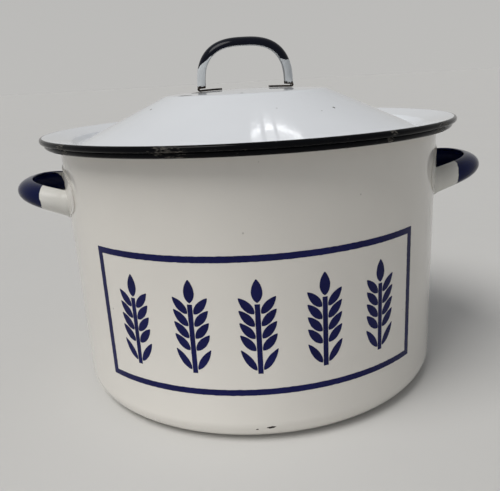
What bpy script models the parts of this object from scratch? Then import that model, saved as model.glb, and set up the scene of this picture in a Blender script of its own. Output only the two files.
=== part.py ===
"""Round enamelled steel bread bin with a lift-off lid.

Metres, +Z up, the base stands on Z = 0 and the two side handles lie along X.
The painted front panel faces -Y.
"""
import math

import bmesh
import bpy
from mathutils import Vector

# Sheet and fits
SHEET = 0.0012            # enamelled sheet thickness
GAP = 0.0003              # clearance between touching pieces
STEPS = 64                # facets round every turned piece
MERGE = 0.00001           # welds the turned profile at its ends

# Bin body
TOP_WALL_R = 0.1705       # outer radius just under the rolled rim
WALL_TAPER = 0.0025       # how much narrower the wall is at its foot
BASE_WALL_R = TOP_WALL_R - WALL_TAPER
WALL_Z0 = 0.020           # height where the straight wall starts
WALL_Z1 = 0.222           # height where the top radius is measured
CORNER_R = 0.0191         # outer radius of the bottom corner
RIM_TOP_Z = 0.2306        # top face of the rim flange
RIM_BEND_R = 0.0045       # inner bend from the wall into the flange
RIM_REACH = 0.0108        # how far the roll's centre stands out past the wall
RIM_ROLL_X = TOP_WALL_R + RIM_REACH

# Rolled edges, shared by the bin and the lid
ROLL_R = 0.0024           # outer radius of a rolled edge
WIRE_R = 0.0009           # stiffening wire inside the roll
ROLL_TURN = 270.0         # how far the sheet is curled, degrees
ROLL_N = 10               # facets along a curl
WIRE_N = 8                # facets round a wire
BIN_BEND_N = 6            # facets along each bend of the bin
LID_BEND_N = 4            # facets along each bend of the lid
CROWN_N = 4               # facets from the lid's centre to the crown's edge

# Lid
LID_OVERHANG = 0.0035     # how far the lid's roll stands out past the bin's
LID_ROLL_X = RIM_ROLL_X + LID_OVERHANG
# the lid's roll rests on the bin's, so their centres are two radii and a gap apart
LID_ROLL_Z = RIM_TOP_Z - ROLL_R + math.sqrt((2 * ROLL_R + GAP) ** 2 - LID_OVERHANG ** 2)
CROWN_RISE = 0.0355       # top of the lid at the centre, above the rim flange
CROWN_Z = RIM_TOP_Z + CROWN_RISE
CROWN_R = 0.0734          # edge of the nearly flat top
CROWN_DROP = 0.0038       # how much the top falls from centre to edge
CROWN_EDGE_R = 0.012      # bend at the edge of the top
GUTTER_IN = 0.0145        # how far the lowest ring of the lid lies inside the wall
GUTTER_X = TOP_WALL_R - GUTTER_IN
GUTTER_DROP = 0.0062      # and below the rim flange
GUTTER_Z = RIM_TOP_Z - GUTTER_DROP
GUTTER_R = 0.0040
FLANGE_IN = 0.0093        # how far the flat flange starts inside the wall
FLANGE_X = TOP_WALL_R - FLANGE_IN
FLANGE_DROP = 0.0009      # and below the rim flange
FLANGE_Z = RIM_TOP_Z - FLANGE_DROP
FLANGE_R = 0.0030
FLANGE_END_IN = 0.0025    # where the flange meets the roll, inside its centre
FLANGE_END_X = LID_ROLL_X - FLANGE_END_IN
FLANGE_END_DROP = 0.0005  # and below its top
FLANGE_END_Z = LID_ROLL_Z + ROLL_R - FLANGE_END_DROP

# Side handles
GRIP_DROP = 0.0440        # middle of the grip below the rim flange
HANDLE_Z = RIM_TOP_Z - GRIP_DROP
LOOP_REACH = 0.0323       # clear distance from the wall to the inside of the grip
LOOP_INNER_X = TOP_WALL_R + LOOP_REACH
LOOP_HALF_W = 0.0473      # half the clear width between the legs
LOOP_POWER = 2.28         # squareness of the loop in plan
GRIP_DEPTH = 0.0142       # depth of the hollow section at the grip
LEG_DEPTH = 0.0104        # the same at the wall
GRIP_HALF_H = 0.0097      # half height of the section at the grip
LEG_DROP = 0.0122         # how far the lower lip falls toward the wall
LEG_TOP_DROP = 0.0086     # how far the upper lip falls
FLARE_POWER = 2.5         # how late the legs fall
LOOP_RINGS = 26
PLATE_HALF_A = 31.9       # half angle covered by a back plate, degrees
PLATE_HALF_H = 0.0260
PLATE_LIFT = 0.0029       # middle of the plate above the middle of the grip
PLATE_Z = HANDLE_Z + PLATE_LIFT
PLATE_POWER = 2.8
PLATE_COLS = 28
PLATE_TIP = 0.9995        # stops the outline just short of a point

# Lid handle
ARCH_HALF_W = 0.0367      # half the clear width under the arch
ARCH_H = 0.0368           # clear height between the lid's centre and the arch
ARCH_POWER = 2.8
ARCH_DEPTH = 0.0076
ARCH_HALF_H = 0.0080      # half the width of the strap
ARCH_RINGS = 24
FOOT_H = 0.0060           # height over which each leg turns from round to flat
TONGUE_LEN = 0.0150       # how far each foot reaches in under the arch
TONGUE_DEPTH = 0.0016
TONGUE_END = 0.0050       # half width at the rounded tip
TONGUE_POWER = 0.1        # nearly flat section
TONGUE_BEND = 0.0010      # inner bend from the leg into its foot
BEND_N = 5                # rings round the bend into a foot
SECTION_N = 8             # facets across a hollow handle section


def reset():
    for ob in list(bpy.data.objects):
        bpy.data.objects.remove(ob, do_unlink=True)
    for block in (bpy.data.meshes, bpy.data.materials, bpy.data.collections):
        for item in list(block):
            block.remove(item)


def enamel(name, rgb, rough):
    mat = bpy.data.materials.new(name)
    mat.use_nodes = True
    shader = mat.node_tree.nodes["Principled BSDF"]
    shader.inputs["Base Color"].default_value = (*rgb, 1.0)
    shader.inputs["Roughness"].default_value = rough
    return mat


def place(name, mesh, mat):
    ob = bpy.data.objects.new(name, mesh)
    mesh.materials.append(mat)
    bpy.data.collections["bread_bin"].objects.link(ob)
    return ob


def arc(cx, cz, r, a0, a1, n):
    pts = []
    for i in range(n + 1):
        a = math.radians(a0 + (a1 - a0) * i / n)
        pts.append((cx + r * math.cos(a), cz + r * math.sin(a)))
    return pts


def rounded(corners, radii, n):
    """A polyline whose inner corners are replaced by arcs."""
    out = [corners[0]]
    for i in range(1, len(corners) - 1):
        r = radii[i - 1]
        p0, p1, p2 = (Vector(p) for p in corners[i - 1:i + 2])
        u = (p0 - p1).normalized()
        v = (p2 - p1).normalized()
        half = u.angle(v) / 2
        reach = r / math.tan(half)
        mid = p1 + (u + v).normalized() * (r / math.sin(half))
        start = (p1 + u * reach) - mid
        turn = start.angle_signed((p1 + v * reach) - mid)
        a0 = math.atan2(start.y, start.x)
        for k in range(n + 1):
            a = a0 - turn * k / n
            out.append((mid.x + r * math.cos(a), mid.y + r * math.sin(a)))
    out.append(corners[-1])
    return out


def sheet_outline(path, t):
    """Outline of a sheet of thickness t that follows a middle line."""
    left, right = [], []
    for i, p in enumerate(path):
        p = Vector(p)
        a = Vector(path[max(i - 1, 0)])
        b = Vector(path[min(i + 1, len(path) - 1)])
        d0 = (p - a).normalized() if i else (b - p).normalized()
        d1 = (b - p).normalized() if i < len(path) - 1 else d0
        d = (d0 + d1).normalized()
        normal = Vector((-d.y, d.x))
        reach = t / 2 / max(d.dot(d0), 0.5)
        left.append(p + normal * reach)
        right.append(p - normal * reach)
    return left + right[::-1]


def turned(name, outline, mat, closed):
    mesh = bpy.data.meshes.new(name)
    verts = [(max(p[0], 0.0), 0.0, p[1]) for p in outline]
    edges = [(i, i + 1) for i in range(len(verts) - 1)]
    if closed:
        edges.append((len(verts) - 1, 0))
    mesh.from_pydata(verts, edges, [])
    ob = place(name, mesh, mat)
    screw = ob.modifiers.new("turn", "SCREW")
    screw.axis = "Z"
    screw.angle = 2 * math.pi
    screw.steps = STEPS
    screw.render_steps = STEPS
    screw.use_merge_vertices = True
    screw.merge_threshold = MERGE
    screw.use_smooth_shade = True
    return ob


def rolled_edge(cx, cz):
    """Middle line of a sheet curled outward, down and in round a wire."""
    return arc(cx, cz, ROLL_R - SHEET / 2, 90.0, 90.0 - ROLL_TURN, ROLL_N)


def wire_outline(cx, cz):
    return arc(cx, cz, WIRE_R, 360.0, 360.0 / WIRE_N, WIRE_N - 1)


def wall_r(z):
    taper = (TOP_WALL_R - BASE_WALL_R) / (WALL_Z1 - WALL_Z0)
    return BASE_WALL_R + (z - WALL_Z0) * taper


def top_z(r):
    """Upper face of the nearly flat top of the lid."""
    return CROWN_Z - CROWN_DROP * (r / CROWN_R) ** 2


def bin_path():
    half = SHEET / 2
    corners = [
        (0.0, half),
        (wall_r(0.0) - half, half),
        (wall_r(RIM_TOP_Z) - half, RIM_TOP_Z - half),
        (RIM_ROLL_X, RIM_TOP_Z - half),
    ]
    path = rounded(corners, [CORNER_R - half, RIM_BEND_R - half], BIN_BEND_N)
    return path[:-1] + rolled_edge(RIM_ROLL_X, RIM_TOP_Z - ROLL_R)


def lid_path():
    half = SHEET / 2
    radii = [CROWN_R * k / CROWN_N for k in range(CROWN_N)]
    crown = [(r, top_z(r) - half) for r in radii]
    corners = [
        crown[-1],
        (CROWN_R, top_z(CROWN_R) - half),
        (GUTTER_X, GUTTER_Z - half),
        (FLANGE_X, FLANGE_Z - half),
        (FLANGE_END_X, FLANGE_END_Z - half),
    ]
    bends = rounded(corners, [CROWN_EDGE_R, GUTTER_R, FLANGE_R], LID_BEND_N)
    return crown[:-1] + bends + rolled_edge(LID_ROLL_X, LID_ROLL_Z)


def section(low, high, depth, power):
    """Open hollow section: side offset and outward offset of each corner."""
    mid, half_w = (high - low) / 2, (high + low) / 2
    outer, inner = [], []
    for i in range(SECTION_N + 1):
        a = math.radians(-90.0 + 180.0 * i / SECTION_N)
        bulge = max(math.cos(a), 0.0) ** power
        outer.append((mid + half_w * math.sin(a), depth * bulge))
        inner.append((mid + (half_w - SHEET) * math.sin(a), (depth - SHEET) * bulge))
    return outer + inner[::-1]


def swept(name, rings, mat):
    """Closed mesh through rings of points that all have the same count."""
    bm = bmesh.new()
    rows = [[bm.verts.new(p) for p in ring] for ring in rings]
    count = len(rows[0])
    for row, nxt in zip(rows, rows[1:]):
        for i in range(count):
            j = (i + 1) % count
            bm.faces.new((row[i], row[j], nxt[j], nxt[i]))
    half = count // 2
    for row in (rows[0], rows[-1]):
        for i in range(half - 1):
            bm.faces.new((row[i], row[i + 1], row[count - 2 - i], row[count - 1 - i]))
    bmesh.ops.recalc_face_normals(bm, faces=bm.faces[:])
    mesh = bpy.data.meshes.new(name)
    bm.to_mesh(mesh)
    bm.free()
    for poly in mesh.polygons:
        poly.use_smooth = True
    return place(name, mesh, mat)


def superellipse(half_w, height, power, a):
    c = max(math.cos(a), 0.0) ** (2 / power)
    s = abs(math.sin(a)) ** (2 / power)
    return math.copysign(half_w * s, a), height * c


def even_angles(half_w, height, power, n):
    """Angles that space the rings evenly along a superellipse."""
    fine = 40 * n
    angles = [-math.pi / 2 + math.pi * k / fine for k in range(fine + 1)]
    run = [0.0]
    last = Vector(superellipse(half_w, height, power, angles[0]))
    for a in angles[1:]:
        p = Vector(superellipse(half_w, height, power, a))
        run.append(run[-1] + (p - last).length)
        last = p
    picked = []
    for i in range(n + 1):
        want = run[-1] * i / n
        k = next((j for j, r in enumerate(run) if r >= want), fine)
        picked.append(angles[k])
    picked[-1] = math.pi / 2
    return picked


def loop_handle(name, side, mat):
    """U shaped hollow grip that stands out from the wall along X."""
    root_x = math.sqrt(wall_r(HANDLE_Z) ** 2 - LOOP_HALF_W ** 2)
    reach = LOOP_INNER_X - root_x
    angles = even_angles(LOOP_HALF_W, reach, LOOP_POWER, LOOP_RINGS)
    base = [Vector(superellipse(LOOP_HALF_W, reach, LOOP_POWER, a)) for a in angles]
    rings = []
    for i, p in enumerate(base):
        a = base[max(i - 1, 0)]
        b = base[min(i + 1, len(base) - 1)]
        along = (b - a).normalized()
        out = Vector((-along.y, along.x))
        near_wall = abs(2 * i / LOOP_RINGS - 1)
        low = GRIP_HALF_H + LEG_DROP * near_wall ** FLARE_POWER
        high = GRIP_HALF_H - LEG_TOP_DROP * near_wall ** FLARE_POWER
        depth = GRIP_DEPTH + (LEG_DEPTH - GRIP_DEPTH) * near_wall ** 2
        ring = []
        for dz, d in section(low, high, depth, 1.0):
            y = p.x + out.x * d
            x = root_x + p.y + out.y * d
            z = HANDLE_Z + dz
            stop = math.sqrt((wall_r(z) + 2 * GAP + SHEET) ** 2 - y * y)
            x = stop if i in (0, LOOP_RINGS) else max(x, stop)
            ring.append((side * x, y, z))
        rings.append(ring)
    return swept(name, rings, mat)


def back_plate(name, side, mat):
    """Thin rounded plate that follows the wall behind a side handle."""
    rings = []
    for i in range(PLATE_COLS + 1):
        # columns crowd toward the rounded ends
        u = math.sin(math.pi / 2 * (2 * i / PLATE_COLS - 1))
        u = max(min(u, PLATE_TIP), -PLATE_TIP)
        half_h = PLATE_HALF_H * (1 - abs(u) ** PLATE_POWER) ** (1 / PLATE_POWER)
        a = math.radians(PLATE_HALF_A) * u
        ring = []
        for z, lift in ((-half_h, 0.0), (half_h, 0.0), (half_h, SHEET), (-half_h, SHEET)):
            r = wall_r(PLATE_Z + z) + GAP + lift
            ring.append((side * r * math.cos(a), r * math.sin(a), PLATE_Z + z))
        rings.append(ring)
    return swept(name, rings, mat)


def arch_foot(bend_z):
    """Stations from the tip of the left foot up to its bend."""
    web_x = ARCH_HALF_W + ARCH_DEPTH - TONGUE_DEPTH
    bend = Vector((TONGUE_BEND - web_x, bend_z))
    tip_x = TONGUE_LEN - ARCH_HALF_W
    stations = []
    for share, w in ((1.0, TONGUE_END), (0.85, 0.9 * ARCH_HALF_H), (0.5, ARCH_HALF_H)):
        x = bend.x + (tip_x - bend.x) * share
        p = Vector((x, top_z(x) + GAP + TONGUE_DEPTH))
        stations.append((p, Vector((0.0, -1.0)), w, TONGUE_DEPTH, TONGUE_POWER))
    for k in range(BEND_N, -1, -1):
        t = math.pi / 2 * k / BEND_N
        out = Vector((-math.cos(t), -math.sin(t)))
        stations.append((bend + out * TONGUE_BEND, out, ARCH_HALF_H, TONGUE_DEPTH, TONGUE_POWER))
    return stations


def arch_leg(foot_z):
    """Stations from the foot of the left leg up to the middle of the arch."""
    rise = CROWN_Z + ARCH_H - foot_z
    angles = even_angles(ARCH_HALF_W, rise, ARCH_POWER, ARCH_RINGS)
    path = [Vector(superellipse(ARCH_HALF_W, rise, ARCH_POWER, a)) for a in angles]
    stations = []
    for i in range(ARCH_RINGS // 2 + 1):
        along = (path[i + 1] - path[max(i - 1, 0)]).normalized()
        power = TONGUE_POWER + (1.0 - TONGUE_POWER) * min(path[i].y / FOOT_H, 1.0)
        p = path[i] + Vector((0.0, foot_z))
        stations.append((p, Vector((-along.y, along.x)), ARCH_HALF_H, ARCH_DEPTH, power))
    return stations


def arch_handle(name, mat):
    """Hollow strap over the lid whose outer wall turns in as a foot at each end."""
    bend_z = top_z(ARCH_HALF_W + ARCH_DEPTH) + GAP + TONGUE_DEPTH + TONGUE_BEND
    half = arch_foot(bend_z) + arch_leg(bend_z + GAP)
    rings = []
    for side, stations in ((1, half), (-1, half[-2::-1])):
        for p, out, w, depth, power in stations:
            ring = []
            for k, (y, o) in enumerate(section(w, w, depth, power)):
                x = side * (p.x + out.x * o)
                lift = GAP if k <= SECTION_N else GAP + SHEET
                ring.append((x, y, max(p.y + out.y * o, top_z(math.hypot(x, y)) + lift)))
            rings.append(ring)
    return swept(name, rings, mat)


def build():
    reset()
    group = bpy.data.collections.new("bread_bin")
    bpy.context.scene.collection.children.link(group)

    body_white = enamel("body_enamel", (0.80, 0.80, 0.78), 0.18)
    lid_white = enamel("lid_enamel", (0.82, 0.84, 0.86), 0.15)
    plate_white = enamel("plate_enamel", (0.76, 0.76, 0.73), 0.22)
    navy = enamel("navy_enamel", (0.012, 0.018, 0.10), 0.16)
    lid_navy = enamel("lid_handle_enamel", (0.010, 0.013, 0.05), 0.16)
    wire = enamel("steel_wire", (0.35, 0.34, 0.33), 0.45)

    turned("bin_shell", sheet_outline(bin_path(), SHEET), body_white, False)
    turned("bin_rim_wire", wire_outline(RIM_ROLL_X, RIM_TOP_Z - ROLL_R), wire, True)
    turned("lid_shell", sheet_outline(lid_path(), SHEET), lid_white, False)
    turned("lid_rim_wire", wire_outline(LID_ROLL_X, LID_ROLL_Z), wire, True)
    for label, side in (("left", -1), ("right", 1)):
        back_plate(label + "_handle_plate", side, plate_white)
        loop_handle(label + "_handle", side, navy)
    arch_handle("lid_handle", lid_navy)


build()
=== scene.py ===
"""Looks of the round enamelled bread bin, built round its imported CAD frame.

Metres, +Z up, the painted panel faces -Y and the side handles lie along X.
"""
import math
import random

import bmesh
import bpy
from mathutils import Matrix, Quaternion, Vector, noise


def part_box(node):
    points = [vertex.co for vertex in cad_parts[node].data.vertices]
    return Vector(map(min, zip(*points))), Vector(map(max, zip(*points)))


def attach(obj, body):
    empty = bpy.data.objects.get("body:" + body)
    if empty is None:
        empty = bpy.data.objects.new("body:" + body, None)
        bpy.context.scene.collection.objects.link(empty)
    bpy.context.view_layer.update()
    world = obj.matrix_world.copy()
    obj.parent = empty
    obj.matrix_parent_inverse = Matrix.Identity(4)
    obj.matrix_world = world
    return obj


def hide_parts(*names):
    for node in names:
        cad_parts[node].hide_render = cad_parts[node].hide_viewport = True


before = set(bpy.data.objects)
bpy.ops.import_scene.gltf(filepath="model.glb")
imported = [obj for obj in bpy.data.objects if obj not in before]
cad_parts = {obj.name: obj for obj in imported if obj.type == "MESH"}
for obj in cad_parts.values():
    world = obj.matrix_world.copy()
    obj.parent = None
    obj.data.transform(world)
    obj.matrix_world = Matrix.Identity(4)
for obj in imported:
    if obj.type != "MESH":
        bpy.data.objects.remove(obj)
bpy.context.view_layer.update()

# Sizes taken from the frame
RIM_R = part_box("bin_shell")[1].x
RIM_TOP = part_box("bin_shell")[1].z
LID_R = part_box("lid_shell")[1].x
CROWN_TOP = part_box("lid_shell")[1].z - 0.0013       # the top is a little flatter than drawn
GRIP_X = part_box("right_handle")[1].x
LEG_LOW, GRIP_TOP = (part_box("right_handle")[k].z for k in (0, 1))
ARCH_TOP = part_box("lid_handle")[1].z
ARCH_HALF_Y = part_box("lid_handle")[1].y

# Sheet metal
SHEET = 0.0012
GAP = 0.0003                    # between lid and bin, and between the lid handle's feet and the lid
ROLL_R = 0.0024                 # of the lid's rolled edge
BIN_ROLL_R = 0.0027             # the bin's own roll is fuller with enamel
ROLL_TURN = 270.0               # how far the sheet is rolled round, in degrees
CUT_EDGE_R = 0.00035            # softened edge of the handles' sheet
SEGMENTS = 256                  # steps round a turned shell
ROLL_STEPS, BIN_BEND_STEPS, LID_BEND_STEPS, CROWN_STEPS = 26, 16, 12, 9

# Body
CORNER_R = 0.0191               # between base and wall
RIM_BEND_R = 0.0045             # between wall and rim
WALL_LOW = (0.1680, 0.020)      # radius and height at the foot of the wall
WALL_HIGH = (0.1705, 0.222)     # radius and height under the rim
RIM_ROLL_X = RIM_R - BIN_ROLL_R

# Lid
LID_ROLL_X = LID_R - ROLL_R
LID_ROLL_Z = RIM_TOP - ROLL_R + math.sqrt((2 * ROLL_R + GAP) ** 2 - (LID_R - RIM_R) ** 2)
CROWN_R = 0.0734                # of the nearly flat top
CROWN_DROP = 0.0025             # from its middle to its edge
CROWN_EDGE_R = 0.012
GUTTER = (0.1560, RIM_TOP - 0.0062)     # radius and height, as for the flange
GUTTER_R = 0.0040
FLANGE_IN = (0.1612, RIM_TOP - 0.0009)
FLANGE_IN_R = 0.0030
FLANGE_OUT = (LID_ROLL_X - 0.0025, LID_ROLL_Z + ROLL_R - 0.0005)

# Side handles
HANDLE_Z = 0.1866
LOOP_INNER_X = 0.2028
LOOP_HALF_W = 0.0473
LOOP_POWER = 2.28
GRIP_DEPTH = GRIP_X - LOOP_INNER_X
LEG_DEPTH = 0.0104
GRIP_HALF_H = GRIP_TOP - HANDLE_Z
LEG_DROP = HANDLE_Z - LEG_LOW - GRIP_HALF_H
LEG_TOP_DROP = 0.0086
FLARE_POWER = 2.5               # how late a leg widens on its way to the wall
GRIP_STEPS, GRIP_SECTION_STEPS = 96, 24
WELD_R = 0.0011                 # bead of enamel where a leg meets its plate
WELD_RUN = 0.0030
NAVY_X = {"left": 0.1852, "right": 0.1822}      # where the navy starts, from the axis
HOLLOW_NAVY_X = {"left": 0.1930, "right": 0.1697}   # the same inside the hollow, at HANDLE_Z
HOLLOW_LEAN = {"left": 0.30, "right": 0.0}          # how far that line leans outward with height
PLATE_HALF_A = 29.2             # degrees round the wall
PLATE_Z = 0.1868
PLATE_HALF_H = 0.0222
PLATE_POWER = 2.6
PLATE_RISE = 0.0010             # how far the plate stands out of the wall
PLATE_SUNK = 0.0010             # how deep it is drawn into the wall's enamel
PLATE_EDGE_R = 0.0011
PLATE_TIP = 0.9995              # stops the outline just short of a point
PLATE_STEPS = 96

# Lid handle
ARCH_HALF_W = 0.0367
ARCH_POWER = 2.8
ARCH_DEPTH = 0.0076
ARCH_H = ARCH_TOP - CROWN_TOP - ARCH_DEPTH
FOOT_H = 0.0060
TONGUE_LEN = 0.0150             # the flat foot that is turned in under the arch
TONGUE_DEPTH = 0.0016
TONGUE_END = 0.0050             # its half width at the tip
TONGUE_BEND = 0.0010
TONGUE_POWER = 0.1
ARCH_LEG_STEPS, ARCH_SECTION_STEPS, TONGUE_STEPS, TONGUE_BEND_STEPS = 44, 20, 9, 10
ARCH_NAVY_Z = (0.2949, 0.2899)  # where the dark top starts inside the left and the right leg
ARCH_NAVY_X = 0.0302            # from here outward its lower edge slants down
ARCH_NAVY_LEAN = (0.87, 0.12)   # by this much per metre, left and right
OXIDE_TOP = CROWN_TOP + 0.0040  # up to here the legs have lost their enamel

# Painted border, in metres along and up the wall
PANEL_R = 0.1690                # wall radius at the panel's middle
PANEL_MID_Z = 0.0985
BORDER_LOW, BORDER_HIGH = 0.0429, 0.1541
BORDER_LEFT, BORDER_RIGHT = -48.7, 45.4     # degrees round from the front
UPRIGHT_W, LEVEL_W = 0.0055, 0.0050         # width of its lines
PANEL_LEAN = 0.0050             # rise per metre, the stencil was laid slightly askew
BORDER_JAG, EAR_JAG = 0.00022, 0.00015      # unevenness of hand-filled edges
JAG_PITCH = 300.0               # how fine that unevenness is, per metre
LEVEL_STEPS, UPRIGHT_STEPS = 260, 100
PAINT_LIFT = 0.00012            # how far a film stands above what carries it
WALL_SKIN = 2.5 * PAINT_LIFT    # how thick the closed skin of a film is on the wall
LID_SKIN = 3 * PAINT_LIFT       # and on the lid

# The five ears of wheat inside it
EAR_CENTRES = (-36.4, -19.2, -2.1, 15.1, 32.2)      # degrees round from the front
EAR_HEIGHT = 0.075
STEM_W = 0.0040
STAND_OFF = 0.0027              # from the stem's middle to the foot of a blade or grain
TIP_GRAIN = (0.0180, 0.0084)    # length and width
TIP_GAP = 0.0012
BLADE = (34.0, 0.0200, 0.0058)  # degrees from upright, length, width
BLADE_RISE = 0.0030             # above the foot of the stem
GRAIN = (41.0, 0.0168, 0.0066)  # as for the blades
GRAIN_RISE, GRAIN_PITCH, GRAIN_PAIRS = 0.0190, 0.0098, 4

# Chips on the body: degrees round, height, half width, half height, turn in degrees
BODY_CHIPS = (
    (-11.7, 0.1065, 0.0005, 0.0010, 0),
    (-11.3, 0.1265, 0.0004, 0.0005, 0),
    (-18.2, 0.0272, 0.0008, 0.0008, 0),
    (-1.7, 0.0510, 0.0007, 0.0006, 0),
    (-3.9, 0.0127, 0.0012, 0.0007, 0),
    (-0.3, 0.0141, 0.0030, 0.0009, 5),
    (-19.5, 0.0498, 0.0004, 0.0004, 0),
    (2.5, 0.0556, 0.0004, 0.0003, 0),
    (118.0, 0.0600, 0.0009, 0.0007, 20),
    (169.0, 0.1400, 0.0006, 0.0008, 0),
    (-142.0, 0.0320, 0.0014, 0.0006, 10),
)

# Chips on the lid: x, y, half width, half depth, turn in degrees
LID_CHIPS = (
    (-0.0440, -0.0165, 0.0042, 0.0080, 0),
    (-0.0056, -0.0680, 0.0009, 0.0011, 0),
    (-0.0836, -0.0442, 0.0009, 0.0009, 0),
    (0.0677, -0.0813, 0.0011, 0.0010, 0),
    (0.0560, -0.0930, 0.0004, 0.0004, 0),
    (-0.0530, -0.0455, 0.0062, 0.0020, -40),
    (0.0300, 0.0610, 0.0012, 0.0008, 0),
    (-0.0700, 0.0900, 0.0009, 0.0007, 30),
)

# Knocked stretches of the rolled edges: degrees round, half their length in degrees
SCUFFED = ((-88.0, 14.0), (-50.8, 3.0), (-19.0, 5.0), (30.5, 1.6), (52.0, 7.0), (80.0, 8.0), (170.0, 6.0))

# Colours, linear: most are the two ends of a mix
# Body and lid are one white enamel: the body's warmer tint is a painted reflection of a warm room, the lid's
# cooler tint a painted reflection of a cool sky
BODY_WHITE_WARM_REFLECTION = ((0.765, 0.74, 0.69), (0.73, 0.705, 0.66))
LID_WHITE_SKY_REFLECTION = ((0.79, 0.815, 0.85), (0.76, 0.785, 0.82))
PLATE_WHITE = ((0.74, 0.72, 0.68), (0.70, 0.68, 0.645))
ARCH_INSIDE_WHITE = ((0.62, 0.64, 0.65), (0.57, 0.59, 0.60))
# white enamel of the lid handle's legs, darkened and blued: painted shade and painted sky reflection
ARCH_WHITE_PAINTED_SHADE = (0.60, 0.63, 0.65)
LEG_WHITE = (0.74, 0.73, 0.69)
GRIP_NAVY = ((0.0030, 0.0055, 0.038), (0.0055, 0.0095, 0.054))
ARCH_NAVY = ((0.0020, 0.0028, 0.0075), (0.0045, 0.0060, 0.015))
PANEL_NAVY = ((0.0050, 0.0060, 0.055), (0.0090, 0.0110, 0.085))
THIN_NAVY = (0.06, 0.07, 0.20)
RIM_BLACK = ((0.0010, 0.0012, 0.0020), (0.0025, 0.003, 0.0045))
RIM_BARE = ((0.035, 0.028, 0.020), (0.20, 0.19, 0.17))
LID_OXIDE = ((0.006, 0.005, 0.005), (0.060, 0.032, 0.018))
CHIP_IRON = ((0.008, 0.007, 0.007), (0.070, 0.040, 0.025))
HAIRLINE = (0.40, 0.38, 0.35)
SPECK = (0.14, 0.12, 0.10)
NICK = (0.30, 0.29, 0.28)
FLOOR_GREY = ((0.63, 0.625, 0.61), (0.65, 0.645, 0.63))
STUDIO_WALL = ((0.04, 0.04, 0.045), (0.30, 0.295, 0.285))   # dark side and bright side
STUDIO_ZENITH = (0.275, 0.28, 0.29)
BACKDROP = ((0.505, 0.50, 0.487), (0.455, 0.455, 0.45))     # at the horizon and higher up

# Light: the paler side of the studio, a key light, and a low spot on the foot of the body
BRIGHT_SIDE = (-0.6, 0.8, 0.0)
KEY_FROM = (-0.50, -0.45, 1.14)
KEY_POWER = 1.90
KEY_SPREAD = 34.0
KEY_COLOUR = (1.0, 0.985, 0.96)
LOW_SPOT = (-0.75, -1.25, 0.30)
LOW_SPOT_AIM = (-0.04, -0.17, -0.02)
LOW_SPOT_POWER = 14.0
LOW_SPOT_CONE = 17.0
LOW_SPOT_R = 0.12

# A glazed lamp behind the bin, mirrored in the slope of the lid
WINDOW = (0.2408, 0.9989, 1.6340)
WINDOW_FACES = (0.0141, -0.1192, 0.2409)
WINDOW_TILT = 21.0
WINDOW_PANES = ((-0.150, 0.075), (-0.043, 0.070), (0.105, 0.175))   # sideways shift and width
WINDOW_ROWS = ((-0.009, 0.008, 36.0), (0.024, 0.042, 3.5))          # upward shift, height, power
WINDOW_COLOUR = (0.97, 0.985, 1.0)

# Camera, solved on the photograph
VIEW_W, VIEW_H = 500, 491
FOCAL_PX = 598.0
CAM_PLACE = (-0.0203, -0.5730, 0.2747)
CAM_YAW, CAM_PITCH, CAM_ROLL = 0.0345, 0.2736, -0.0558
CENTRE_PX = (253.7, 245.1)
SENSOR_W = 36.0

FLOOR_HALF = 40.0
FLOOR_GAP = 0.0002              # keeps the base off the floor's own plane


def wall_r(z):
    (r0, z0), (r1, z1) = WALL_LOW, WALL_HIGH
    return r0 + (z - z0) * (r1 - r0) / (z1 - z0)


def crown_z(r):
    return CROWN_TOP - CROWN_DROP * (r / CROWN_R) ** 2


def on_wall(angle, z, lift=0.0):
    """A point on the wall, angle in degrees round from the front."""
    a = math.radians(angle)
    r = wall_r(z) + lift
    return Vector((r * math.sin(a), -r * math.cos(a), z))


# Node materials


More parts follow.
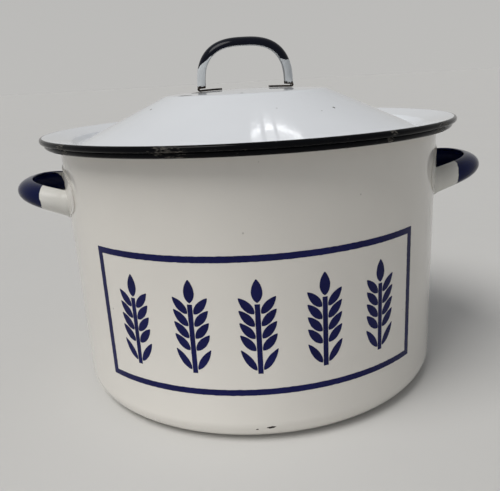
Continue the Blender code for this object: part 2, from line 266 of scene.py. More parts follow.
class Nodes:
    """Short names for building a material's node tree."""

    def __init__(self, name):
        self.mat = bpy.data.materials.new(name)
        self.mat.use_nodes = True
        self.tree = self.mat.node_tree
        self.shader = self.tree.nodes["Principled BSDF"]
        coord = self.tree.nodes.new("ShaderNodeTexCoord")
        self.place = coord.outputs["Object"]
        split = self.node("ShaderNodeSeparateXYZ", {0: self.place})
        self.x, self.y, self.z = (split.outputs[k] for k in "XYZ")

    def node(self, kind, inputs=(), **settings):
        made = self.tree.nodes.new(kind)
        for key, value in settings.items():
            setattr(made, key, value)
        for key, value in dict(inputs).items():
            if isinstance(value, bpy.types.NodeSocket):
                self.tree.links.new(value, made.inputs[key])
            else:
                made.inputs[key].default_value = value
        return made

    def math(self, operation, a, b=0.0):
        return self.node("ShaderNodeMath", {0: a, 1: b}, operation=operation).outputs[0]

    def noise(self, scale, detail=3.0, rough=0.5, distort=0.0, vector=None):
        made = self.node(
            "ShaderNodeTexNoise",
            {
                "Vector": vector or self.place,
                "Scale": scale,
                "Detail": detail,
                "Roughness": rough,
                "Distortion": distort,
            },
        )
        return made.outputs[0]

    def shifted(self, step):
        """The place moved by one step along each axis, for a noise of its own."""
        moved = self.node("ShaderNodeVectorMath", {0: self.place, 1: [step] * 3}, operation="ADD")
        return moved.outputs[0]

    def wobble(self, width, *shape, vector=None):
        """Noise that swings about zero; shape is its scale, detail and roughness."""
        centred = self.math("SUBTRACT", self.noise(*shape, vector=vector), 0.5)
        return self.math("MULTIPLY", centred, width)

    def cells(self, scale):
        return self.node("ShaderNodeTexVoronoi", {"Vector": self.place, "Scale": scale})

    def ramp(self, value, low, high, out_low=0.0, out_high=1.0, smooth=False):
        made = self.node(
            "ShaderNodeMapRange",
            {0: value, 1: low, 2: high, 3: out_low, 4: out_high},
            interpolation_type="SMOOTHSTEP" if smooth else "LINEAR",
        )
        return made.outputs[0]

    def mix(self, factor, a, b):
        made = self.node("ShaderNodeMix", {0: factor, 6: a, 7: b}, data_type="RGBA")
        return made.outputs[2]

    def radius(self):
        flat = self.math("ADD", self.math("MULTIPLY", self.x, self.x), self.math("MULTIPLY", self.y, self.y))
        return self.math("SQRT", flat)

    def bump(self, height, strength, distance, normal=None):
        inputs = {"Strength": strength, "Distance": distance, "Height": height}
        if normal:
            inputs["Normal"] = normal
        return self.node("ShaderNodeBump", inputs).outputs[0]

    def finish(self, colour, rough, normal, specular=0.5):
        link = self.tree.links.new
        link(colour, self.shader.inputs["Base Color"])
        link(rough, self.shader.inputs["Roughness"])
        link(normal, self.shader.inputs["Normal"])
        self.shader.inputs["Specular IOR Level"].default_value = specular
        return self.mat


def colour(r, g, b):
    return (r, g, b, 1.0)


def colours(pair):
    return (colour(*rgb) for rgb in pair)


def enamel_normal(n, peel=0.5):
    """Slow waviness of drawn sheet under the fine ripple of fired enamel."""
    slow = n.bump(n.noise(14.0, 1.0, 0.4), 0.30, 0.0006)
    ripple = n.bump(n.noise(130.0, 1.0, 0.4), 0.06 * peel, 0.0005, slow)
    return n.bump(n.noise(800.0, 1.0, 0.5), 0.03 * peel, 0.0001, ripple)


def scratches(n):
    """Sparse hairline scratches: thin ridges of a stretched noise inside rare patches."""
    aim = n.node("ShaderNodeMapping", {0: n.place, 2: (0.5, 0.9, 0.35), 3: (420.0, 40.0, 420.0)}).outputs[0]
    off_ridge = n.math("ABSOLUTE", n.wobble(1.0, 1.0, 1.0, 0.4, vector=aim))
    line = n.ramp(off_ridge, 0.0, 0.004, 1.0, 0.0)
    patch = n.ramp(n.noise(13.0, 2.0, 0.5), 0.60, 0.68)
    return n.math("MULTIPLY", line, patch)


def specks(n, scale, share, size):
    """Rare round specks of dirt fired into the enamel: a share of all cells holds one."""
    dots = n.cells(scale)
    small = n.ramp(dots.outputs["Distance"], size, size * 0.6)
    lot = n.node("ShaderNodeSeparateColor", {0: dots.outputs["Color"]}).outputs[0]
    return n.math("MULTIPLY", small, n.math("GREATER_THAN", lot, 1.0 - share))


def white_enamel(name, base, shade, extra=None):
    """White enamel with faint clouding, hairlines and a few fired-in specks.

    extra(n, tone) gives back the tone with more painted over it.
    """
    n = Nodes(name)
    cloud = n.ramp(n.noise(8.0, 4.0, 0.55), 0.35, 0.68)
    tone = n.mix(cloud, colour(*base), colour(*shade))
    tone = n.mix(n.math("MULTIPLY", scratches(n), 0.30), tone, colour(*HAIRLINE))
    tone = n.mix(n.math("MULTIPLY", specks(n, 150.0, 0.010, 0.15), 0.35), tone, colour(*SPECK))
    if extra:
        tone = extra(n, tone)
    smear = n.ramp(n.noise(11.0, 5.0, 0.65, 0.6), 0.35, 0.72, 0.045, 0.10)
    rough = n.math("ADD", smear, n.math("MULTIPLY", scratches(n), 0.10))
    return n.finish(tone, rough, enamel_normal(n))


def edge_paint(roll_x, seed):
    """Black that starts at an uneven line just inside a rolled edge."""
    def paint(n, tone):
        uneven = n.wobble(0.0022, 60.0, 4.0, 0.65, vector=n.shifted(seed))
        black = n.ramp(n.math("ADD", n.radius(), uneven), roll_x + 0.0002, roll_x + 0.0004)
        return n.mix(black, tone, worn_black(n)[0])
    return paint


def turn_angle(n):
    """Degrees round from the front."""
    back = n.math("MULTIPLY", n.y, -1.0)
    return n.math("MULTIPLY", n.math("ARCTAN2", n.x, back), math.degrees(1.0))


def worn_black(n):
    """Black edge enamel and how worn it is: streaks of bare metal where the edge gets knocked."""
    angle = turn_angle(n)
    zone = n.ramp(n.noise(9.0, 2.0, 0.5), 0.60, 0.72, 0.0, 0.7)
    for centre, half in SCUFFED:
        off = n.math("ABSOLUTE", n.math("SUBTRACT", angle, centre))
        zone = n.math("MAXIMUM", zone, n.ramp(off, 0.3 * half, half, 1.0, 0.0, smooth=True))
    round_edge = n.math("MULTIPLY", angle, math.radians(1.0) * LID_ROLL_X)
    drawn_out = n.math("MULTIPLY", round_edge, 0.22)
    streak = n.node("ShaderNodeCombineXYZ", {0: drawn_out, 1: n.radius(), 2: n.z}).outputs[0]
    grit = n.math("ADD", n.noise(700.0, 4.0, 0.7, vector=streak), n.math("MULTIPLY", zone, 0.15))
    worn = n.ramp(grit, 0.66, 0.70)
    dark = n.mix(n.noise(70.0, 3.0, 0.6), *colours(RIM_BLACK))
    bare = n.mix(n.noise(420.0, 3.0, 0.6), *colours(RIM_BARE))
    return n.mix(n.math("MULTIPLY", worn, 0.75), dark, bare), worn


def rim_enamel(name):
    n = Nodes(name)
    tone, worn = worn_black(n)
    gloss = n.ramp(n.noise(30.0, 4.0, 0.6), 0.3, 0.75, 0.06, 0.15)
    rough = n.math("ADD", gloss, n.math("MULTIPLY", worn, 0.35))
    normal = n.bump(worn, 0.5, 0.00015, n.bump(n.noise(120.0, 3.0, 0.5), 0.22, 0.0006))
    return n.finish(tone, rough, normal, specular=0.07)


def navy_enamel(name, deep, light, seed):
    """Dark glossy enamel with a few pale nicks."""
    n = Nodes(name)
    navy = n.mix(n.noise(34.0, 4.0, 0.6), colour(*deep), colour(*light))
    nick = n.ramp(n.noise(320.0, 4.0, 0.7, vector=n.shifted(seed)), 0.735, 0.76)
    navy = n.mix(n.math("MULTIPLY", nick, 0.7), navy, colour(*NICK))
    rough = n.ramp(n.noise(40.0, 4.0, 0.6), 0.3, 0.75, 0.08, 0.20)
    return n, navy, rough


def two_tone(name, deep, light, white, border, seed, wear=None):
    """Dark enamel that is white where border(n) is 0."""
    n, navy, rough = navy_enamel(name, deep, light, seed)
    pale = n.mix(n.noise(20.0, 3.0, 0.5), colour(*white), colour(*(0.92 * c for c in white)))
    tone = n.mix(border(n), pale, navy)
    if wear:
        tone = wear(n, tone)
    return n.finish(tone, rough, enamel_normal(n, peel=1.3), specular=0.13)


def grip_border(edge_x, lean=0.0):
    """Navy beyond an uneven line across each leg of a side handle."""
    def border(n):
        wave = n.wobble(0.0050, 85.0, 3.0, 0.6)
        slant = n.math("MULTIPLY", n.math("SUBTRACT", n.z, HANDLE_Z), -lean)
        reach = n.math("ADD", n.math("ABSOLUTE", n.x), n.math("ADD", wave, slant))
        return n.ramp(reach, edge_x, edge_x + 0.00025)
    return border


def arch_border(n):
    """Dark above a line that runs higher on the inside of each leg."""
    wave = n.wobble(0.0045, 110.0, 3.0, 0.6)
    out = n.math("MAXIMUM", n.math("SUBTRACT", n.math("ABSOLUTE", n.x), ARCH_NAVY_X), 0.0)
    right = n.ramp(n.x, -0.001, 0.001)
    lean = n.math("MULTIPLY", out, n.ramp(right, 0.0, 1.0, *ARCH_NAVY_LEAN))
    height = n.math("ADD", n.z, n.math("ADD", wave, lean))
    above = n.math("SUBTRACT", height, n.ramp(right, 0.0, 1.0, *ARCH_NAVY_Z))
    return n.ramp(above, 0.0, 0.00025)


def oxide(n):
    rust = n.ramp(n.noise(600.0, 4.0, 0.7), 0.45, 0.7)
    return n.mix(rust, *colours(LID_OXIDE))


def foot_wear(n, tone):
    """Dark oxide on the lid round the feet of its handle."""
    tip, heel = ARCH_HALF_W - TONGUE_LEN, ARCH_HALF_W + ARCH_DEPTH
    across = n.math("SUBTRACT", n.math("ABSOLUTE", n.y), ARCH_HALF_Y)
    off_middle = n.math("ABSOLUTE", n.math("SUBTRACT", n.math("ABSOLUTE", n.x), (tip + heel) / 2))
    along = n.math("SUBTRACT", off_middle, (heel - tip) / 2)
    reach = n.math("MAXIMUM", across, along)
    ragged = n.wobble(0.0140, 120.0, 5.0, 0.7)
    worn = n.ramp(n.math("ADD", reach, ragged), 0.0012, 0.0016, 1.0, 0.0)
    return n.mix(worn, tone, oxide(n))


def lid_paint(n, tone):
    return edge_paint(LID_ROLL_X, 5.0)(n, foot_wear(n, tone))


def leg_wear(n, tone):
    """Enamel gone from the foot of each leg of the lid handle and from its tongue."""
    ragged = n.wobble(0.0050, 260.0, 4.0, 0.7)
    worn = n.ramp(n.math("ADD", n.z, ragged), OXIDE_TOP, OXIDE_TOP + 0.0004, 1.0, 0.0)
    return n.mix(worn, tone, oxide(n))


def paint_material(name):
    """Navy stencil paint under glaze, a touch uneven in depth."""
    n = Nodes(name)
    depth = n.ramp(n.noise(45.0, 5.0, 0.65), 0.3, 0.7)
    tone = n.mix(depth, *colours(PANEL_NAVY))
    thin = n.ramp(n.noise(420.0, 4.0, 0.7), 0.64, 0.74)
    tone = n.mix(n.math("MULTIPLY", thin, 0.30), tone, colour(*THIN_NAVY))
    rough = n.ramp(n.noise(90.0, 3.0, 0.6), 0.3, 0.7, 0.16, 0.27)
    return n.finish(tone, rough, enamel_normal(n), specular=0.12)


def chip_material(name):
    """Where enamel has gone: dark oxidised iron with a little rust."""
    n = Nodes(name)
    rust = n.ramp(n.noise(700.0, 5.0, 0.7), 0.50, 0.66)
    tone = n.mix(rust, *colours(CHIP_IRON))
    rough = n.ramp(n.noise(400.0, 3.0, 0.6), 0.3, 0.7, 0.45, 0.75)
    pitted = n.bump(n.noise(1200.0, 4.0, 0.7), 0.7, 0.0003)
    return n.finish(tone, rough, pitted, specular=0.3)


def floor_material():
    n = Nodes("studio_floor")
    tone = n.mix(n.noise(3.0, 4.0, 0.5), *colours(FLOOR_GREY))
    rough = n.ramp(n.noise(40.0, 3.0, 0.5), 0.3, 0.7, 0.60, 0.70)
    grainy = n.bump(n.noise(300.0, 2.0, 0.5), 0.05, 0.0005)
    return n.finish(tone, rough, grainy, specular=0.2)


# Mesh helpers


def add_mesh(name, verts, faces, materials, paint=None):
    mesh = bpy.data.meshes.new(name)
    mesh.from_pydata([tuple(v) for v in verts], [], faces)
    for material in materials:
        mesh.materials.append(material)
    bm = bmesh.new()
    bm.from_mesh(mesh)
    if paint:
        for face, index in zip(bm.faces, paint):
            face.material_index = index
    bmesh.ops.recalc_face_normals(bm, faces=bm.faces[:])
    for face in bm.faces:
        face.smooth = True
    bm.to_mesh(mesh)
    bm.free()
    ob = bpy.data.objects.new(name, mesh)
    bpy.context.scene.collection.objects.link(ob)
    return ob


def sharpen(ob, degrees):
    ob.data.set_sharp_from_angle(angle=math.radians(degrees))


def soften_edges(ob, width, segments=3, degrees=35.0):
    bevel = ob.modifiers.new("edge", "BEVEL")
    bevel.width = width
    bevel.segments = segments
    bevel.limit_method = "ANGLE"
    bevel.angle_limit = math.radians(degrees)
    bevel.harden_normals = False


def arc(cx, cz, r, a0, a1, n):
    angles = [math.radians(a0 + (a1 - a0) * i / n) for i in range(n + 1)]
    return [(cx + r * math.cos(a), cz + r * math.sin(a)) for a in angles]


def rounded(corners, radii, n):
    """A polyline whose inner corners are replaced by arcs."""
    out = [corners[0]]
    for i, r in enumerate(radii, start=1):
        p0, p1, p2 = (Vector(p) for p in corners[i - 1:i + 2])
        u = (p0 - p1).normalized()
        v = (p2 - p1).normalized()
        half = u.angle(v) / 2
        reach = r / math.tan(half)
        mid = p1 + (u + v).normalized() * (r / math.sin(half))
        start = (p1 + u * reach) - mid
        turn = start.angle_signed((p1 + v * reach) - mid)
        a0 = math.degrees(math.atan2(start.y, start.x))
        out += arc(mid.x, mid.y, r, a0, a0 - math.degrees(turn), n)
    return out + [corners[-1]]


def sheet_outline(path):
    """Outline of the sheet that follows a middle line, its raw end rounded."""
    left, right = [], []
    for i, p in enumerate(path):
        p = Vector(p)
        a = Vector(path[max(i - 1, 0)])
        b = Vector(path[min(i + 1, len(path) - 1)])
        d0 = (p - a).normalized() if i else (b - p).normalized()
        d1 = (b - p).normalized() if i < len(path) - 1 else d0
        d = (d0 + d1).normalized()
        side = Vector((-d.y, d.x)) * (SHEET / 2 / max(d.dot(d0), 0.5))
        left.append(p + side)
        right.append(p - side)
    return left + right[::-1]


def turned(name, path, paint_from, materials):
    """Sheet turned round the axis; it takes the second material from one place of its path on."""
    outline = sheet_outline(path)
    verts, rows = [], []
    for r, z in outline:
        first = len(verts)
        if r < 1e-6:
            verts.append((0, 0, z))
            rows.append([first] * SEGMENTS)
            continue
        for k in range(SEGMENTS):
            a = 2 * math.pi * k / SEGMENTS
            verts.append((r * math.cos(a), r * math.sin(a), z))
        rows.append(list(range(first, first + SEGMENTS)))
    faces, paint = [], []
    for i, (row, nxt) in enumerate(zip(rows, rows[1:])):
        inward = min(i, len(rows) - 2 - i)
        for k in range(SEGMENTS):
            j = (k + 1) % SEGMENTS
            corners = list(dict.fromkeys((row[k], row[j], nxt[j], nxt[k])))
            if len(corners) > 2:
                faces.append(corners)
                paint.append(int(inward >= paint_from))
    shell = add_mesh(name, verts, faces, materials, paint)
    sharpen(shell, 50)
    return shell


def swept(name, rings, materials, paint_of=None):
    """Closed mesh through rings of points; paint_of(k) is a face's material by its place round the ring."""
    count = len(rings[0])
    verts = [p for ring in rings for p in ring]
    faces, paint = [], []
    for i in range(len(rings) - 1):
        for k in range(count):
            j = (k + 1) % count
            a, b = i * count, (i + 1) * count
            faces.append((a + k, a + j, b + j, b + k))
            paint.append(paint_of(k) if paint_of else 0)
    half = count // 2
    for base in (0, (len(rings) - 1) * count):
        for k in range(half - 1):
            faces.append((base + k, base + k + 1, base + count - 2 - k, base + count - 1 - k))
            paint.append(0)
    return add_mesh(name, verts, faces, materials, paint)


def section(low, high, depth, power, n):
    """Open hollow section: side offset and outward offset of each corner."""
    mid, half_w = (high - low) / 2, (high + low) / 2
    outer, inner = [], []
    for i in range(n + 1):
        a = math.radians(-90.0 + 180.0 * i / n)
        bulge = max(math.cos(a), 0.0) ** power
        outer.append((mid + half_w * math.sin(a), depth * bulge))
        inner.append((mid + (half_w - SHEET) * math.sin(a), (depth - SHEET) * bulge))
    return outer + inner[::-1]


def superellipse(half_w, height, power, a):
    c = max(math.cos(a), 0.0) ** (2 / power)
    s = abs(math.sin(a)) ** (2 / power)
    return Vector((math.copysign(half_w * s, a), height * c))


def even_path(half_w, height, power, n):
    """Points spaced evenly along a superellipse arch."""
    fine = 60 * n
    dense = [superellipse(half_w, height, power, -math.pi / 2 + math.pi * k / fine) for k in range(fine + 1)]
    run = [0.0]
    for p, q in zip(dense, dense[1:]):
        run.append(run[-1] + (q - p).length)
    path, k = [], 0
    for i in range(n + 1):
        want = run[-1] * i / n
        while k < fine and run[k] < want:
            k += 1
        path.append(dense[k])
    return path


def outward(path, i):
    a = path[max(i - 1, 0)]
    b = path[min(i + 1, len(path) - 1)]
    along = (b - a).normalized()
    return Vector((-along.y, along.x))


# The object's pieces


def rolled_edge(cx, cz, radius):
    """Middle line of a sheet rolled outward and under, from the top of the roll on."""
    return arc(cx, cz, radius - SHEET / 2, 90.0, 90.0 - ROLL_TURN, ROLL_STEPS)


def bin_path():
    """Middle line of the body's sheet, from the middle of the base up to the rolled edge."""
    half = SHEET / 2
    corners = [
        (0.0, half),
        (wall_r(0.0) - half, half),
        (wall_r(RIM_TOP) - half, RIM_TOP - half),
        (RIM_ROLL_X, RIM_TOP - half),
    ]
    return rounded(corners, [CORNER_R - half, RIM_BEND_R - half], BIN_BEND_STEPS)[:-1]


def lid_path():
    """Middle line of the lid's sheet, from its centre out to the rolled edge."""
    half = SHEET / 2
    radii = [CROWN_R * k / CROWN_STEPS for k in range(CROWN_STEPS)]
    crown = [(r, crown_z(r) - half) for r in radii]
    corners = [
        crown[-1],
        (CROWN_R, crown_z(CROWN_R) - half),
        (GUTTER[0], GUTTER[1] - half),
        (FLANGE_IN[0], FLANGE_IN[1] - half),
        (FLANGE_OUT[0], FLANGE_OUT[1] - half),
    ]
    return crown[:-1] + rounded(corners, [CROWN_EDGE_R, GUTTER_R, FLANGE_IN_R], LID_BEND_STEPS)


def between(points, value):
    """Second coordinate on a polyline whose first coordinate grows."""
    for (a, p), (b, q) in zip(points, points[1:]):
        if a <= value <= b:
            return p + (q - p) * (value - a) / (b - a)
    return points[-1][1]


def wall_point(angle, z, lift=0.0):
    """A point outside the body at any height, also on the bend into the base."""
    path = bin_path()
    outside = [(p.y, p.x) for p in sheet_outline(path)[:len(path) - 1:-1] if p.x > WALL_LOW[0] / 2]
    r = between([pair for pair in outside if pair[0] < RIM_TOP / 2], z) + lift
    a = math.radians(angle)
    return Vector((r * math.sin(a), -r * math.cos(a), z))


def make_bin_shell(white, black):
    path = bin_path()
    curl = rolled_edge(RIM_ROLL_X, RIM_TOP - BIN_ROLL_R, BIN_ROLL_R)
    shell = turned("bin_body", path + curl, len(path), [white, black])
    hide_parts("bin_shell")
    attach(shell, "bin")


def make_lid_shell(white, black):
    path = lid_path()
    curl = rolled_edge(LID_ROLL_X, LID_ROLL_Z, ROLL_R)
    shell = turned("lid_body", path + curl, len(path), [white, black])
    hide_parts("lid_shell")
    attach(shell, "lid")


def make_side_handle(label, side, outside, inside):
    """Hollow grip swept round its loop; its lower lip falls and its section flattens toward the wall."""
    section_n = GRIP_SECTION_STEPS
    root_x = math.sqrt(wall_r(HANDLE_Z) ** 2 - LOOP_HALF_W ** 2)
    path = even_path(LOOP_HALF_W, LOOP_INNER_X - root_x, LOOP_POWER, GRIP_STEPS)
    step = (path[1] - path[0]).length
    rings = []
    for i, p in enumerate(path):
        out = outward(path, i)
        near_wall = abs(2 * i / GRIP_STEPS - 1)
        bead = WELD_R * max(0.0, 1.0 - step * min(i, GRIP_STEPS - i) / WELD_RUN) ** 2
        low = GRIP_HALF_H + LEG_DROP * near_wall ** FLARE_POWER + bead
        high = GRIP_HALF_H - LEG_TOP_DROP * near_wall ** FLARE_POWER + bead
        depth = GRIP_DEPTH + (LEG_DEPTH - GRIP_DEPTH) * near_wall ** 2 + bead
        ring = []
        for dz, d in section(low, high, depth, 1.0, section_n):
            y = p.x + out.x * d
            z = HANDLE_Z + dz
            stop = math.sqrt((wall_r(z) + PLATE_RISE / 2) ** 2 - y * y)
            x = stop if i in (0, GRIP_STEPS) else max(root_x + p.y + out.y * d, stop)
            ring.append((side * x, y, z))
        rings.append(ring)
    grip = swept(label + "_grip", rings, [outside, inside], lambda k: int(section_n < k < 2 * section_n + 1))
    soften_edges(grip, CUT_EDGE_R)
    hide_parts(label + "_handle")
    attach(grip, "bin")


def make_back_plate(label, side, material):
    """Plate fused to the wall by its enamel, so its soft edge runs down into the wall."""
    rings = []
    for i in range(PLATE_STEPS + 1):
        u = math.sin(math.pi / 2 * (2 * i / PLATE_STEPS - 1))
        u = max(min(u, PLATE_TIP), -PLATE_TIP)
        h = PLATE_HALF_H * (1 - abs(u) ** PLATE_POWER) ** (1 / PLATE_POWER)
        a = math.radians(PLATE_HALF_A) * u
        ring = []
        for z, lift in ((-h, -PLATE_SUNK), (h, -PLATE_SUNK), (h, PLATE_RISE), (-h, PLATE_RISE)):
            r = wall_r(PLATE_Z + z) + lift
            ring.append((side * r * math.cos(a), r * math.sin(a), PLATE_Z + z))
        rings.append(ring)
    plate = swept(label + "_plate", rings, [material])
    soften_edges(plate, PLATE_EDGE_R, segments=5, degrees=50.0)
    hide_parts(label + "_handle_plate")
    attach(plate, "bin")


def arch_foot(bend_z):
    """Stations from the tip of the left foot up to its bend: place, outward, half width, depth, power."""
    bend = Vector((TONGUE_BEND - (ARCH_HALF_W + ARCH_DEPTH - TONGUE_DEPTH), bend_z))
    tip_x = TONGUE_LEN - ARCH_HALF_W
    stations = []
    for k in range(TONGUE_STEPS, 0, -1):
        share = (k / TONGUE_STEPS) ** 0.6       # closer stations where the tip rounds off
        x = bend.x + (tip_x - bend.x) * share
        w = TONGUE_END + (ARCH_HALF_Y - TONGUE_END) * math.sqrt(1 - share ** 6)
        p = Vector((x, crown_z(x) + GAP + TONGUE_DEPTH))
        stations.append((p, Vector((0.0, -1.0)), w, TONGUE_DEPTH, TONGUE_POWER))
    for k in range(TONGUE_BEND_STEPS, -1, -1):
        t = math.pi / 2 * k / TONGUE_BEND_STEPS
        out = Vector((-math.cos(t), -math.sin(t)))
        stations.append((bend + out * TONGUE_BEND, out, ARCH_HALF_Y, TONGUE_DEPTH, TONGUE_POWER))
    return stations


def arch_leg(foot_z):
    """Stations from the foot of the left leg up to the middle of the arch."""
    path = even_path(ARCH_HALF_W, CROWN_TOP + ARCH_H - foot_z, ARCH_POWER, 2 * ARCH_LEG_STEPS)
    stations = []
    for i in range(ARCH_LEG_STEPS + 1):
        power = TONGUE_POWER + (1.0 - TONGUE_POWER) * min(path[i].y / FOOT_H, 1.0)
        p = path[i] + Vector((0.0, foot_z))
        stations.append((p, outward(path, i), ARCH_HALF_Y, ARCH_DEPTH, power))
    return stations


def make_lid_handle(outside, inside):
    """Strap arch: one half is laid out station by station, then mirrored; nothing dips into the lid."""
    section_n = ARCH_SECTION_STEPS
    bend_z = crown_z(ARCH_HALF_W + ARCH_DEPTH) + GAP + TONGUE_DEPTH + TONGUE_BEND
    half = arch_foot(bend_z) + arch_leg(bend_z + GAP)
    rings = []
    for side, stations in ((1, half), (-1, half[-2::-1])):
        for p, out, w, depth, power in stations:
            ring = []
            for k, (y, o) in enumerate(section(w, w, depth, power, section_n)):
                x = side * (p.x + out.x * o)
                lift = GAP if k <= section_n else GAP + SHEET
                ring.append((x, y, max(p.y + out.y * o, crown_z(math.hypot(x, y)) + lift)))
            rings.append(ring)
    arch = swept("lid_arch", rings, [outside, inside], lambda k: int(section_n < k < 2 * section_n + 1))
    soften_edges(arch, CUT_EDGE_R)
    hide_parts("lid_handle")
    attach(arch, "lid")


# Thin films of paint and wear


def film(name, sheets, lowered, material, body):
    """Closed skins; a sheet is (points, faces) and lowered(point) gives the point under it."""
    verts, faces = [], []
    for points, tops in sheets:
        base, count = len(verts), len(points)
        verts += points
        verts += [lowered(p) for p in points]
        sides = {}
        for face in tops:
            faces.append([base + k for k in face])
            faces.append([base + count + k for k in reversed(face)])
            for a, b in zip(face, face[1:] + face[:1]):
                if (b, a) in sides:
                    del sides[b, a]
                else:
                    sides[a, b] = True
        faces += [[base + b, base + a, base + count + a, base + count + b] for a, b in sides]
    skin = add_mesh(name, verts, faces, [material])
    sharpen(skin, 30)
    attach(skin, body)


def wall_below(p):
    share = 1 - WALL_SKIN / PANEL_R
    return Vector((p.x * share, p.y * share, p.z))


def lid_below(p):
    return Vector((p.x, p.y, p.z - LID_SKIN))


def on_panel(u, v, jag=0.0):
    """A point of the painted panel: metres round and up, with an uneven hand-filled edge."""
    if jag:
        place = Vector((u * JAG_PITCH, v * JAG_PITCH, 3.0))
        u += jag * noise.noise(place)
        v += jag * noise.noise(place + Vector((9.0, 4.0, 7.0)))
    return on_wall(math.degrees(u / PANEL_R), v + PANEL_LEAN * u, PAINT_LIFT)


def grid(rows, jag, closed=False):
    """Points and faces of a painted strip; only its two long edges are uneven."""
    points, faces = [], []
    count = len(rows[0])
    for row in rows:
        for k, (u, v) in enumerate(row):
            points.append(on_panel(u, v, jag if k in (0, count - 1) else 0.0))
    for i in range(len(rows) if closed else len(rows) - 1):
        j = (i + 1) % len(rows)
        for k in range(count - 1):
            faces.append([i * count + k, i * count + k + 1, j * count + k + 1, j * count + k])
    return points, faces


def make_border(material):
    """A rectangle of line round the panel with mitred corners."""
    left, right = (math.radians(a) * PANEL_R for a in (BORDER_LEFT, BORDER_RIGHT))
    outer = [(left, BORDER_LOW), (right, BORDER_LOW), (right, BORDER_HIGH), (left, BORDER_HIGH)]
    inner = []
    for u, v in outer:
        du = UPRIGHT_W if u == left else -UPRIGHT_W
        dv = LEVEL_W if v == BORDER_LOW else -LEVEL_W
        inner.append((u + du, v + dv))
    rows = []
    for side in range(4):
        a0, a1 = Vector(outer[side]), Vector(outer[(side + 1) % 4])
        b0, b1 = Vector(inner[side]), Vector(inner[(side + 1) % 4])
        steps = UPRIGHT_STEPS if side % 2 else LEVEL_STEPS
        for i in range(steps):
            a, b = a0.lerp(a1, i / steps), b0.lerp(b1, i / steps)
            rows.append([tuple(a.lerp(b, k / 4)) for k in range(5)])
    film("panel_border", [grid(rows, BORDER_JAG, True)], wall_below, material, "bin")


def bar(u, v0, v1, width, steps=26):
    rows = []
    for i in range(steps + 1):
        v = v0 + (v1 - v0) * i / steps
        rows.append([(u + width * (k / 2 - 0.5), v) for k in range(3)])
    return rows


def grain(u, v, angle, length, width, steps=16):
    """A pointed oval that grows from (u, v); angle in degrees from upright."""
    a = math.radians(angle)
    along = Vector((math.sin(a), math.cos(a)))
    side = Vector((along.y, -along.x))
    rows = []
    for i in range(steps + 1):
        f = i / steps
        half = width / 2 * max(math.sin(math.pi * f ** 0.85), 0.03) ** 0.7
        p = Vector((u, v)) + along * (length * f)
        rows.append([tuple(p + side * (half * (k / 2 - 1))) for k in range(5)])
    return rows


def make_ear(index, centre, material):
    """One stencilled ear of wheat: a stem, two blades, pairs of grains and one at the tip."""
    u = math.radians(centre) * PANEL_R
    foot = PANEL_MID_Z - EAR_HEIGHT / 2
    tip_foot = foot + EAR_HEIGHT - TIP_GRAIN[0]
    rows = [bar(u, foot, tip_foot - TIP_GAP, STEM_W)]
    rows.append(grain(u, tip_foot, 0.0, *TIP_GRAIN))
    for side in (-1, 1):
        start = u + side * STAND_OFF
        rows.append(grain(start, foot + BLADE_RISE, side * BLADE[0], *BLADE[1:]))
        for k in range(GRAIN_PAIRS):
            rows.append(grain(start, foot + GRAIN_RISE + GRAIN_PITCH * k, side * GRAIN[0], *GRAIN[1:]))
    film(f"wheat_ear_{index}", [grid(r, EAR_JAG) for r in rows], wall_below, material, "bin")


def blot(rng, count=22, jag=0.7):
    """Angles and radii of an irregular closed outline."""
    phase = rng.random() * 50
    outline = []
    for k in range(count):
        a = 2 * math.pi * k / count
        lobe = noise.noise(Vector((1.7 * math.cos(a) + phase, 1.7 * math.sin(a), phase)))
        outline.append((a, 1 + jag * lobe))
    return outline


def chip(surface, centre, size, turn, rng):
    """A small irregular patch; surface maps two metres values to a point on the object."""
    outline = blot(rng)
    c, s = math.cos(math.radians(turn)), math.sin(math.radians(turn))
    points = [surface(*centre)]
    for share in (0.55, 1.0):
        for a, r in outline:
            x, y = size[0] * share * r * math.cos(a), size[1] * share * r * math.sin(a)
            points.append(surface(centre[0] + x * c - y * s, centre[1] + x * s + y * c))
    n = len(outline)
    faces = []
    for k in range(n):
        j = (k + 1) % n
        faces.append([0, 1 + k, 1 + j])
        faces.append([1 + k, 1 + n + k, 1 + n + j, 1 + j])
    return points, faces


def wall_surface(u, z):
    return wall_point(math.degrees(u / PANEL_R), z, PAINT_LIFT / 2)


def lid_surface(x, y):
    path = lid_path()
    top = [(p.x, p.y) for p in sheet_outline(path)[:len(path)]]
    return Vector((x, y, between(top, math.hypot(x, y)) + PAINT_LIFT / 2))


def make_chips(material):
    rng = random.Random(7)
    wall = []
    for angle, z, wide, high, turn in BODY_CHIPS:
        wall.append(chip(wall_surface, (math.radians(angle) * PANEL_R, z), (wide, high), turn, rng))
    film("bin_chips", wall, wall_below, material, "bin")
    lid = [chip(lid_surface, (x, y), (wide, deep), turn, rng) for x, y, wide, deep, turn in LID_CHIPS]
    film("lid_chips", lid, lid_below, material, "lid")


# Stage, light and camera


def make_floor():
    h = FLOOR_HALF
    verts = [(-h, -h, 0), (h, -h, 0), (h, h, 0), (-h, h, 0)]
    floor = add_mesh("floor", verts, [(0, 1, 2, 3)], [floor_material()])
    floor.location.z = -FLOOR_GAP


def make_light():
    make_world()
    sun = bpy.data.lights.new("key", "SUN")
    sun.energy = KEY_POWER
    sun.angle = math.radians(KEY_SPREAD)
    sun.color = KEY_COLOUR
    lamp = bpy.data.objects.new("key", sun)
    lamp.rotation_euler = Vector(KEY_FROM).to_track_quat("Z", "Y").to_euler()
    bpy.context.scene.collection.objects.link(lamp)
    make_low_spot()
    make_window()


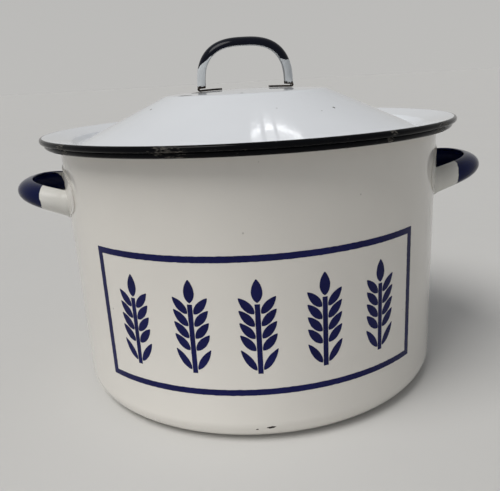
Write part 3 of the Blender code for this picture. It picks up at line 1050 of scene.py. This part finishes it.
def make_low_spot():
    """A soft weak spot on the foot of the body."""
    light = bpy.data.lights.new("low_spot", "SPOT")
    light.energy = LOW_SPOT_POWER
    light.spot_size = math.radians(LOW_SPOT_CONE)
    light.spot_blend = 1.0
    light.shadow_soft_size = LOW_SPOT_R
    lamp = bpy.data.objects.new("low_spot", light)
    lamp.location = LOW_SPOT
    lamp.rotation_euler = (Vector(LOW_SPOT) - Vector(LOW_SPOT_AIM)).to_track_quat("Z", "Y").to_euler()
    bpy.context.scene.collection.objects.link(lamp)


def make_window():
    """A small glazed lamp behind the bin: its panes are mirrored in the slope of the lid."""
    centre = Vector(WINDOW)
    aim = (Vector(WINDOW_FACES) - centre).to_track_quat("-Z", "Y")
    aim = aim @ Quaternion((0.0, 0.0, 1.0), math.radians(WINDOW_TILT))
    for row, (rise, height, strength) in enumerate(WINDOW_ROWS):
        for column, (shift, width) in enumerate(WINDOW_PANES):
            name = f"pane_{row}_{column}"
            light = bpy.data.lights.new(name, "AREA")
            light.shape = "RECTANGLE"
            light.size, light.size_y = width, height
            light.energy = strength * width * height
            light.color = WINDOW_COLOUR
            lamp = bpy.data.objects.new(name, light)
            lamp.location = centre + aim @ Vector((-shift, rise, 0.0))
            lamp.rotation_euler = aim.to_euler()
            bpy.context.scene.collection.objects.link(lamp)


def make_world():
    """Dim uneven studio walls as light; the eye and the gloss see a plain pale backdrop."""
    world = bpy.data.worlds.new("studio")
    bpy.context.scene.world = world
    world.use_nodes = True
    tree = world.node_tree
    aim = tree.nodes.new("ShaderNodeTexCoord").outputs["Generated"]
    split = tree.nodes.new("ShaderNodeSeparateXYZ")
    tree.links.new(aim, split.inputs[0])
    height = ramp_node(tree, split.outputs["Z"], 0.0, 0.5)
    turn = tree.nodes.new("ShaderNodeVectorMath")
    turn.operation = "DOT_PRODUCT"
    tree.links.new(aim, turn.inputs[0])
    turn.inputs[1].default_value = BRIGHT_SIDE
    side = ramp_node(tree, turn.outputs["Value"], -1.0, 1.0)
    wall = mix_node(tree, side, *colours(STUDIO_WALL))
    sky = mix_node(tree, height, wall, colour(*STUDIO_ZENITH))
    backdrop = mix_node(tree, height, *colours(BACKDROP))
    path = tree.nodes.new("ShaderNodeLightPath")
    seen = path.outputs["Is Camera Ray"]
    for ray in ("Is Glossy Ray", "Is Transmission Ray"):
        both = tree.nodes.new("ShaderNodeMath")
        both.operation = "MAXIMUM"
        tree.links.new(seen, both.inputs[0])
        tree.links.new(path.outputs[ray], both.inputs[1])
        seen = both.outputs[0]
    shown = mix_node(tree, seen, sky, backdrop)
    tree.links.new(shown, tree.nodes["Background"].inputs["Color"])


def ramp_node(tree, value, low, high):
    """0 to 1 as the value goes from low to high, in a world's node tree."""
    node = tree.nodes.new("ShaderNodeMapRange")
    node.interpolation_type = "SMOOTHSTEP"
    tree.links.new(value, node.inputs["Value"])
    node.inputs["From Min"].default_value = low
    node.inputs["From Max"].default_value = high
    return node.outputs[0]


def mix_node(tree, factor, a, b):
    """Mix of two colours or sockets, in a world's node tree."""
    node = tree.nodes.new("ShaderNodeMix")
    node.data_type = "RGBA"
    tree.links.new(factor, node.inputs[0])
    for index, value in ((6, a), (7, b)):
        if isinstance(value, bpy.types.NodeSocket):
            tree.links.new(value, node.inputs[index])
        else:
            node.inputs[index].default_value = value
    return node.outputs[2]


def make_camera():
    """The photograph's camera; its yaw turns right, its pitch down."""
    data = bpy.data.cameras.new("photo_view")
    data.sensor_width = SENSOR_W
    data.lens = FOCAL_PX / VIEW_W * data.sensor_width
    data.shift_x = -(CENTRE_PX[0] - VIEW_W / 2) / VIEW_W
    data.shift_y = (CENTRE_PX[1] - VIEW_H / 2) / VIEW_W
    data.clip_start = 0.01
    camera = bpy.data.objects.new("photo_view", data)
    look = Vector((
        math.sin(CAM_YAW) * math.cos(CAM_PITCH),
        math.cos(CAM_YAW) * math.cos(CAM_PITCH),
        -math.sin(CAM_PITCH),
    ))
    level = Vector((math.cos(CAM_YAW), -math.sin(CAM_YAW), 0.0))
    up = level.cross(look)
    right = level * math.cos(CAM_ROLL) + up * math.sin(CAM_ROLL)
    top = up * math.cos(CAM_ROLL) - level * math.sin(CAM_ROLL)
    turn = Matrix((right, top, -look)).transposed().to_4x4()
    camera.matrix_world = Matrix.Translation(CAM_PLACE) @ turn
    bpy.context.scene.collection.objects.link(camera)
    bpy.context.scene.camera = camera


def main():
    make_camera()
    make_light()
    make_floor()
    bpy.context.scene.view_settings.view_transform = "Standard"

    # body and lid whites differ only by their painted reflection tints
    body_white = white_enamel("body_white", *BODY_WHITE_WARM_REFLECTION, edge_paint(RIM_ROLL_X, 0.0))
    lid_white = white_enamel("lid_white", *LID_WHITE_SKY_REFLECTION, lid_paint)
    plate_white = white_enamel("plate_white", *PLATE_WHITE)
    rim_black = rim_enamel("rim_black")
    arch_dark = two_tone("arch_dark", *ARCH_NAVY, ARCH_WHITE_PAINTED_SHADE, arch_border, 3.0, leg_wear)
    arch_inside = white_enamel("arch_inside", *ARCH_INSIDE_WHITE, leg_wear)
    paint = paint_material("panel_paint")
    bare_iron = chip_material("bare_iron")
    wire = chip_material("rim_wire_steel")

    make_bin_shell(body_white, rim_black)
    make_lid_shell(lid_white, rim_black)
    for label, side in (("left", -1), ("right", 1)):
        outer = grip_border(NAVY_X[label])
        inner = grip_border(HOLLOW_NAVY_X[label], HOLLOW_LEAN[label])
        grip = two_tone(label + "_grip_navy", *GRIP_NAVY, LEG_WHITE, outer, side)
        hollow = two_tone(label + "_grip_hollow", *GRIP_NAVY, LEG_WHITE, inner, 2 * side)
        make_side_handle(label, side, grip, hollow)
        make_back_plate(label, side, plate_white)
    make_lid_handle(arch_dark, arch_inside)
    for name in ("bin_rim_wire", "lid_rim_wire"):
        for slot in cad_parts[name].material_slots:
            slot.material = wire
    make_border(paint)
    for index, centre in enumerate(EAR_CENTRES, start=1):
        make_ear(index, centre, paint)
    make_chips(bare_iron)


main()
